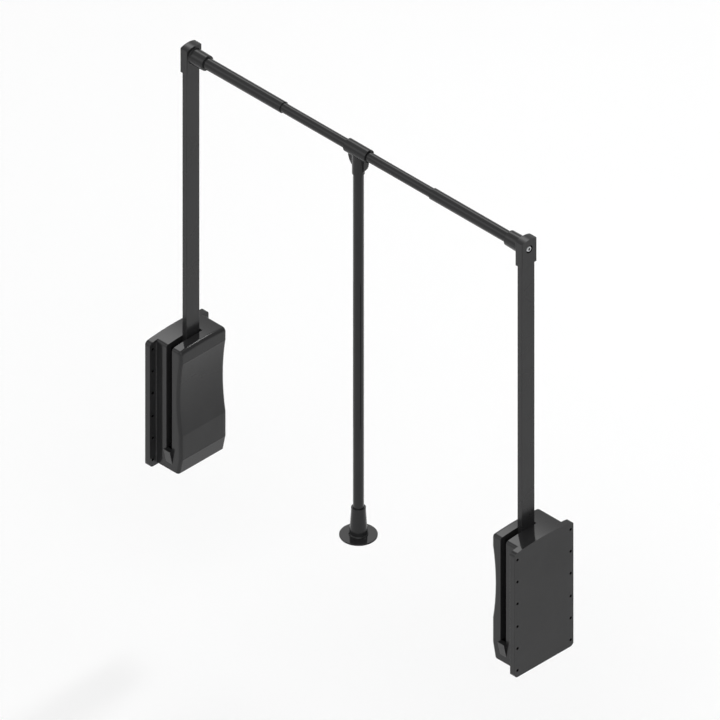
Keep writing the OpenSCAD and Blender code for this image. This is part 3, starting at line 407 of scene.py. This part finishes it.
def in_screw_hole(point):
    across = abs(point.y) - HOLE_COLUMN
    return any(math.hypot(across, abs(point.z) - row) < HOLE_RADIUS for row in HOLE_ROWS)


def near_rail(radius):
    """A test for points within a radius of the rail's axis."""
    return lambda point: math.hypot(point.y - RAIL_AXIS[0], point.z - RAIL_AXIS[1]) < radius


def soften(obj, width, angle=32.0):
    """Rounds the sharp edges a little and keeps the broad faces flat."""
    bevel = obj.modifiers.new("soft_edges", "BEVEL")
    bevel.width = width
    bevel.segments = 2
    bevel.limit_method = "ANGLE"
    bevel.angle_limit = math.radians(angle)
    bevel.harden_normals = False
    smooth(obj)


def smooth(obj):
    for face in obj.data.polygons:
        face.use_smooth = True
    normals = obj.modifiers.new("even_normals", "WEIGHTED_NORMAL")
    normals.keep_sharp = True
    normals.weight = 50


# The cover, with finer rounding than its solid


def face_distance(s, z):
    """Distance of the cover's broad face from the wall at height z."""
    foot_z = s.case_bottom + s.foot_height
    waist_end = s.waist_start + s.waist_height
    if z < foot_z:
        return s.case_thick - s.foot_inset * (foot_z - z) / s.foot_height
    if z < s.waist_start or z > waist_end:
        return s.case_thick
    radius = ((s.waist_height / 2) ** 2 + s.waist_depth ** 2) / (2 * s.waist_depth)
    middle = (s.waist_start + waist_end) / 2
    return s.case_thick - math.sqrt(radius ** 2 - (z - middle) ** 2) + radius - s.waist_depth


def arch_inset(s, y):
    """How far the arched top lies below its middle at depth y."""
    half = s.plate_depth / 2
    radius = (half ** 2 + s.top_drop ** 2) / (2 * s.top_drop)
    return radius - math.sqrt(radius ** 2 - y * y)


def round_inset(radius, past):
    """How far an edge draws in, past the place where its rounding starts."""
    return radius - math.sqrt(max(0.0, radius ** 2 - past ** 2)) if past > 0 else 0.0


def drawn_in(radius, wall):
    """An outer radius less a wall, and never quite sharp."""
    return max(radius - wall, radius / 10)


def cover_depths(s, wall):
    """Depths of the cover's outlines from rear to front, close together at its corners."""
    half = s.case_depth / 2 - wall
    radius = drawn_in(s.case_corner, wall)
    turn = [radius * math.cos(math.pi / 2 * i / s.corner_steps) for i in range(s.corner_steps + 1)]
    depths = [half - radius + step for step in turn]
    depths += [(1 - 2 * i / s.arch_steps) * (half - radius) for i in range(1, s.arch_steps)]
    return depths + [radius - half - step for step in reversed(turn)]


def cover_ring(s, y, wall):
    """The cover's outline in X and Z at depth y, drawn in by a wall thickness."""
    past = abs(y) - s.case_depth / 2 + wall
    corner = drawn_in(s.case_corner, wall)
    end = drawn_in(s.case_end_round, wall)
    foot = drawn_in(s.case_foot_round, wall)
    top = s.case_top_round - wall
    side = wall + round_inset(corner, past + corner)
    low = s.case_bottom + wall + round_inset(foot, past + foot)
    high = s.case_top - wall - arch_inset(s, y) - round_inset(end, past + end)
    near = s.plate_thick - (OVERRUN if wall else 0.0)
    ring = [(near, low)]
    for i in range(s.corner_steps):
        a = math.pi / 2 * i / (s.corner_steps - 1)
        z = low + foot * (1 - math.cos(a))
        ring.append((face_distance(s, z) - side - foot * (1 - math.sin(a)), z))
    ring.append((s.case_thick - side, s.case_bottom + s.foot_height))
    for i in range(s.waist_steps + 1):
        z = s.waist_start + s.waist_height * i / s.waist_steps
        ring.append((face_distance(s, z) - side, z))
    for i in range(s.corner_steps + 1):
        a = math.pi / 2 * i / s.corner_steps
        ring.append((s.case_thick - side - top * (1 - math.cos(a)), high - top * (1 - math.sin(a))))
    ring.append((near, high))
    return ring


def cover_block(s, wall):
    """A closed mesh over the cover's outlines."""
    mesh = bmesh.new()
    rings = [[mesh.verts.new((x, y, z)) for x, z in cover_ring(s, y, wall)]
             for y in cover_depths(s, wall)]
    count = len(rings[0])
    for low, high in zip(rings, rings[1:]):
        for i in range(count):
            j = (i + 1) % count
            mesh.faces.new((low[i], low[j], high[j], high[i]))
    mesh.faces.new(list(reversed(rings[0])))
    mesh.faces.new(rings[-1])
    return to_object(mesh, "block")


def to_object(mesh, name):
    bmesh.ops.recalc_face_normals(mesh, faces=mesh.faces)
    data = bpy.data.meshes.new(name)
    mesh.to_mesh(data)
    mesh.free()
    obj = bpy.data.objects.new(name, data)
    bpy.context.scene.collection.objects.link(obj)
    return obj


def block(x0, x1, y0, y1, z0, z1):
    mesh = bmesh.new()
    centre = Vector(((x0 + x1) / 2, (y0 + y1) / 2, (z0 + z1) / 2))
    size = Matrix.Diagonal((abs(x1 - x0), abs(y1 - y0), abs(z1 - z0), 1.0))
    bmesh.ops.create_cube(mesh, size=1.0, matrix=Matrix.Translation(centre) @ size)
    return to_object(mesh, "block")


def combine(base, tools, operation):
    """Adds or cuts away the tools, and leaves one plain mesh."""
    for tool in tools:
        step = base.modifiers.new("step", "BOOLEAN")
        step.operation = operation
        step.solver = "EXACT"
        step.object = tool
    depsgraph = bpy.context.evaluated_depsgraph_get()
    result = bpy.data.meshes.new_from_object(base.evaluated_get(depsgraph))
    base.modifiers.clear()
    base.data = result
    for tool in tools:
        bpy.data.objects.remove(tool)
    return base


def slot_lips(s):
    """The lips that line the arm slot, trimmed to the middle of the cover's walls."""
    front = s.case_depth / 2
    right = s.slot_left + s.slot_width
    rear = s.slot_rear + s.lip_thick
    under = s.case_top - s.case_wall - s.lip_deep
    lips = []
    for x in (s.slot_left - s.lip_thick, right):
        for y, z in ((s.case_wall - front + s.lip_deep, s.slot_foot), (rear, under)):
            lips.append(block(x, x + s.lip_thick, -front, y, z, s.case_top))
    lips.append(block(s.slot_left - s.lip_thick, right + s.lip_thick, s.slot_rear, rear,
                      under - 2 * s.lip_deep, s.case_top))
    return [combine(lip, [cover_block(s, s.case_wall / 2)], "INTERSECT") for lip in lips]


def mirrored(obj, width):
    """Turns a left-hand mesh into its right-hand twin."""
    obj.data.transform(Matrix.Translation((width, 0, 0)) @ Matrix.Diagonal((-1.0, 1.0, 1.0, 1.0)))
    obj.data.flip_normals()


class CLOSETROD_OT_covers(bpy.types.Operator):
    """Builds both covers with their full rounding, slot and lips"""

    bl_idname = "closetrod.covers"
    bl_label = "Build the covers"

    def execute(self, context):
        s = settings()
        material = gloss_black("cover_plastic", s.black, rough=(0.07, 0.1))
        for side in SIDES:
            cover = combine(cover_block(s, 0.0), [cover_block(s, s.case_wall)], "DIFFERENCE")
            cover = combine(cover, slot_lips(s), "UNION")
            right = s.slot_left + s.slot_width
            front = -s.case_depth / 2 - OVERRUN
            slot = block(s.slot_left, right, front, s.slot_rear, s.slot_foot, s.case_top + OVERRUN)
            cover = combine(cover, [slot], "DIFFERENCE")
            cover.name = side + "_cover_shell"
            if side == "right":
                mirrored(cover, s.unit_width)
            cover.data.materials.clear()
            cover.data.materials.append(material)
            cover.data.set_sharp_from_angle(angle=math.radians(SHARP_ANGLE))
            smooth(cover)
            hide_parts(side + "_cover")
            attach(cover, side + "_casing")
        return {"FINISHED"}


class CLOSETROD_OT_housings(bpy.types.Operator):
    """Gives the plates, rests and buffers their moulded surfaces, with painted shade in the plates' screw
    holes
    """

    bl_idname = "closetrod.housings"
    bl_label = "Dress the housings"

    def execute(self, context):
        s = settings()
        plastic = gloss_black("housing_plastic", s.black, rough=(0.08, 0.12))
        # Painted shade: a near-black, barely mirroring material for the walls of the plates' screw holes,
        # where shade falls
        bore = matte_plastic("bore_painted_shade", HOLLOW_PAINTED_SHADE, rough=(0.75, 0.9), ior=SHADE_IOR)
        rubber = matte_plastic("buffer_rubber", RUBBER_BLACK, rough=(0.5, 0.65))
        for side in SIDES:
            plate = paint(side + "_wall_plate", plastic)
            darken(plate, bore, in_screw_hole)
            soften(plate, s.hole_rim)
            soften(paint(side + "_arm_rest", plastic), s.edge_width)
            smooth(paint(side + "_rest_buffer", rubber))
        return {"FINISHED"}


class CLOSETROD_OT_arms(bpy.types.Operator):
    """Paints the flat arms and polishes their moulded heads, with painted shade in the recess round each rail
    screw
    """

    bl_idname = "closetrod.arms"
    bl_label = "Dress the arms"

    def execute(self, context):
        s = settings()
        coat = gloss_black("arm_paint", s.arm_black, rough=(0.18, 0.23), ripple=0.06, wear=0.0005)
        plastic = gloss_black("bracket_plastic", s.black, rough=(0.04, 0.065))
        # Painted shade: a near-black, barely mirroring material for the shadowed walls of the recess round
        # each rail screw
        shade = matte_plastic("recess_painted_shade", HOLLOW_PAINTED_SHADE, rough=(0.75, 0.9), ior=SHADE_IOR)
        for side in SIDES:
            smooth(paint(side + "_arm_tube", coat))
            bracket = paint(side + "_top_bracket", plastic)
            soften(bracket, s.edge_width)
            darken(bracket, shade, near_rail(RECESS_RADIUS))
        return {"FINISHED"}


class CLOSETROD_OT_rail(bpy.types.Operator):
    """Gives the rail's tubes, bushes and tee their black finish"""

    bl_idname = "closetrod.rail"
    bl_label = "Dress the rail"

    def execute(self, context):
        s = settings()
        tube = tube_black("rail_black", s.black)
        plastic = gloss_black("tee_plastic", s.black, rough=(0.03, 0.06), ior=TUBE_IOR)
        bush = gloss_black("bush_plastic", scaled(s.black, 0.7), rough=(0.08, 0.14), wear=0.0003)
        for side in SIDES:
            soften(paint(side + "_outer_tube", tube), TUBE_EDGE)
            soften(paint(side + "_slide_bush", bush), BUSH_EDGE)
        soften(paint("centre_tube", tube), TUBE_EDGE)
        soften(paint("tee_sleeve", plastic), s.edge_width)
        return {"FINISHED"}


class CLOSETROD_OT_pole(bpy.types.Operator):
    """Gives the pull pole, its bell and its disc their finish, with a duller painted-shade finish on the
    disc's rim
    """

    bl_idname = "closetrod.pole"
    bl_label = "Dress the pull pole"

    def execute(self, context):
        s = settings()
        tube = tube_black("pole_black", s.black)
        plastic = gloss_black("grip_plastic", s.black, rough=(0.035, 0.07), ior=GRIP_IOR)
        soften(paint("pole_tube", tube), TUBE_EDGE)
        smooth(paint("grip_bell", plastic))
        disc = paint("grip_disc", plastic)
        smooth(disc)
        # Painted shade: a duller, less mirroring finish on the disc's rim stands in for the dark reflection
        # along its edge
        rim = matte_plastic("rim_painted_shade", scaled(s.black, 1.4), rough=(0.3, 0.4), ior=RIM_IOR)
        reach = max(point[1] for point in disc.bound_box) - RAIL_AXIS[0]
        darken(disc, rim, lambda point: math.hypot(
            point.x - MIDDLE, point.y - RAIL_AXIS[0]) > reach - RIM_DEPTH)
        return {"FINISHED"}


class CLOSETROD_OT_mechanism(bpy.types.Operator):
    """Gives the screws, the steel mechanism and its bearings their metals and plastics, with painted shade in
    the rail screws' hex sockets
    """

    bl_idname = "closetrod.mechanism"
    bl_label = "Dress the mechanism"

    def execute(self, context):
        s = settings()
        steel = brushed_metal(
            "plain_steel", s.steel, rough=(0.28, 0.45), stretch=(1.0, 1.0, 0.08), grain=0.2)
        spring = brushed_metal(
            "spring_wire", scaled(s.steel, 0.6), rough=(0.25, 0.4), stretch=(1.0, 1.0, 1.0), grain=0.08)
        bright = brushed_metal(
            "bright_screw", s.bright, rough=(0.14, 0.26), stretch=(0.2, 1.0, 1.0), grain=0.1)
        bearing = matte_plastic("bearing_plastic", s.bearing, rough=(0.4, 0.55))
        damper = matte_plastic("damper_plastic", DAMPER_BLACK, rough=(0.35, 0.5))
        # Painted shade: a near-black, barely mirroring material inside the rail screws' hex sockets, where
        # shade falls
        socket = matte_plastic("socket_shade", SOCKET_PAINTED_SHADE, rough=(0.85, 0.95), ior=SHADE_IOR)
        for side in SIDES:
            for name in STEEL_NODES:
                smooth(paint(f"{side}_{name}", steel))
            for name in SCREW_NODES:
                soften(paint(f"{side}_{name}", bright), SCREW_EDGE)
            darken(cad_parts[side + "_rail_screw"], socket, near_rail(HEX_RADIUS))
            for name in BEARING_NODES:
                smooth(paint(f"{side}_{name}", bearing))
            smooth(paint(side + "_lift_spring", spring))
            smooth(paint(side + "_rotary_damper", damper))
        for name in ("tee_screw", "grip_screw"):
            soften(paint(name, bright), SCREW_EDGE)
        return {"FINISHED"}


class CLOSETROD_OT_stage(bpy.types.Operator):
    """Builds the floor, the soft light and the camera"""

    bl_idname = "closetrod.stage"
    bl_label = "Set the stage"

    def execute(self, context):
        scene = context.scene
        scene.view_settings.view_transform = "Standard"
        self.floor(settings())
        self.world(scene)
        self.lamps(scene)
        self.camera(scene)
        return {"FINISHED"}

    def floor(self, s):
        mesh = bmesh.new()
        place = Matrix.Translation((MIDDLE, 0.0, CAD_BOX[0][2] - FLOOR_DROP))
        bmesh.ops.create_grid(mesh, x_segments=8, y_segments=8, size=FLOOR_HALF, matrix=place)
        obj = to_object(mesh, "floor")
        material = bpy.data.materials.new("floor_paint")
        n = Nodes(material)
        tone = s.floor_tone
        base = n.tint(n.spread(n.noise(3.0, 3.0), 0.0, 1.0), (tone * 0.995,) * 3, (tone, tone, tone))
        n.finish(base, n.spread(n.noise(20.0), 0.7, 0.8))
        obj.data.materials.append(material)

    def world(self, scene):
        """A studio darker on the right, with two soft lights on the left and a broad one in front."""
        world = bpy.data.worlds.new("studio")
        scene.world = world
        world.use_nodes = True
        tree = world.node_tree
        tree.nodes.clear()
        link = tree.links.new
        place = tree.nodes.new("ShaderNodeTexCoord")

        def facing(direction, start, end, low, high):
            dot = tree.nodes.new("ShaderNodeVectorMath")
            dot.operation = "DOT_PRODUCT"
            dot.inputs[1].default_value = Vector(direction).normalized()
            ramp = tree.nodes.new("ShaderNodeMapRange")
            for key, number in (("From Min", start), ("From Max", end), ("To Min", low), ("To Max", high)):
                ramp.inputs[key].default_value = number
            link(place.outputs["Generated"], dot.inputs[0])
            link(dot.outputs["Value"], ramp.inputs["Value"])
            return ramp.outputs["Result"]

        total = facing(SKY_SIDE, *SKY_RAMP, SKY_DARK, SKY_PALE)
        for direction, strength, edge, falloff in SKY_LIGHTS:
            power = tree.nodes.new("ShaderNodeMath")
            power.operation = "POWER"
            power.inputs[1].default_value = falloff
            link(facing(direction, edge, 1.0, 0.0, 1.0), power.inputs[0])
            plus = tree.nodes.new("ShaderNodeMath")
            plus.operation = "MULTIPLY_ADD"
            plus.inputs[1].default_value = strength
            link(power.outputs["Value"], plus.inputs[0])
            link(total, plus.inputs[2])
            total = plus.outputs["Value"]
        light = tree.nodes.new("ShaderNodeBackground")
        light.inputs["Color"].default_value = (1.0, 1.0, 1.0, 1.0)
        output = tree.nodes.new("ShaderNodeOutputWorld")
        link(total, light.inputs["Strength"])
        link(light.outputs["Background"], output.inputs["Surface"])

    def lamps(self, scene):
        """A narrow bright lamp above and behind, for the thin streaks on the rounded edges."""
        data = bpy.data.lights.new("key", "AREA")
        data.shape = "ELLIPSE"
        data.size = LAMP_WIDTH
        data.size_y = LAMP_LENGTH
        data.energy = LAMP_POWER
        lamp = bpy.data.objects.new("key", data)
        direction = Vector(LAMP_DIRECTION).normalized()
        lamp.location = Vector(LAMP_AIM) + direction * LAMP_DISTANCE
        lamp.rotation_euler = direction.to_track_quat("Z", "Y").to_euler()
        scene.collection.objects.link(lamp)

    def camera(self, scene):
        data = bpy.data.cameras.new("camera")
        data.type = "ORTHO"
        data.ortho_scale = PICTURE_WIDTH
        data.clip_end = CAMERA_REACH
        camera = bpy.data.objects.new("camera", data)
        azimuth = math.radians(CAMERA_AZIMUTH)
        elevation = math.atan(1 / math.sqrt(2))
        view = Vector((math.sin(azimuth) * math.cos(elevation), -math.cos(azimuth) * math.cos(elevation),
                       math.sin(elevation)))
        camera.location = Vector(CAMERA_AIM) + view * CAMERA_DISTANCE
        camera.rotation_euler = view.to_track_quat("Z", "Y").to_euler()
        scene.collection.objects.link(camera)
        scene.camera = camera


class CLOSETROD_PT_panel(bpy.types.Panel):
    """Sizes, colours and steps of the closet rod"""

    bl_label = "Closet rod"
    bl_idname = "CLOSETROD_PT_panel"
    bl_space_type = "VIEW_3D"
    bl_region_type = "UI"
    bl_category = "Closet rod"

    def draw(self, context):
        layout = self.layout
        for operator in OPERATORS:
            layout.operator(operator.bl_idname)
        for name in ClosetRodSettings.__annotations__:
            layout.prop(context.scene.closet_rod, name)


OPERATORS = (CLOSETROD_OT_covers, CLOSETROD_OT_housings, CLOSETROD_OT_arms, CLOSETROD_OT_rail,
             CLOSETROD_OT_pole, CLOSETROD_OT_mechanism, CLOSETROD_OT_stage)
CLASSES = (ClosetRodSettings, *OPERATORS, CLOSETROD_PT_panel)


def register():
    for cls in CLASSES:
        bpy.utils.register_class(cls)
    bpy.types.Scene.closet_rod = PointerProperty(type=ClosetRodSettings)


def unregister():
    del bpy.types.Scene.closet_rod
    for cls in reversed(CLASSES):
        bpy.utils.unregister_class(cls)


def main():
    register()
    bpy.ops.closetrod.covers()
    bpy.ops.closetrod.housings()
    bpy.ops.closetrod.arms()
    bpy.ops.closetrod.rail()
    bpy.ops.closetrod.pole()
    bpy.ops.closetrod.mechanism()
    bpy.ops.closetrod.stage()


if __name__ == "__main__":
    main()
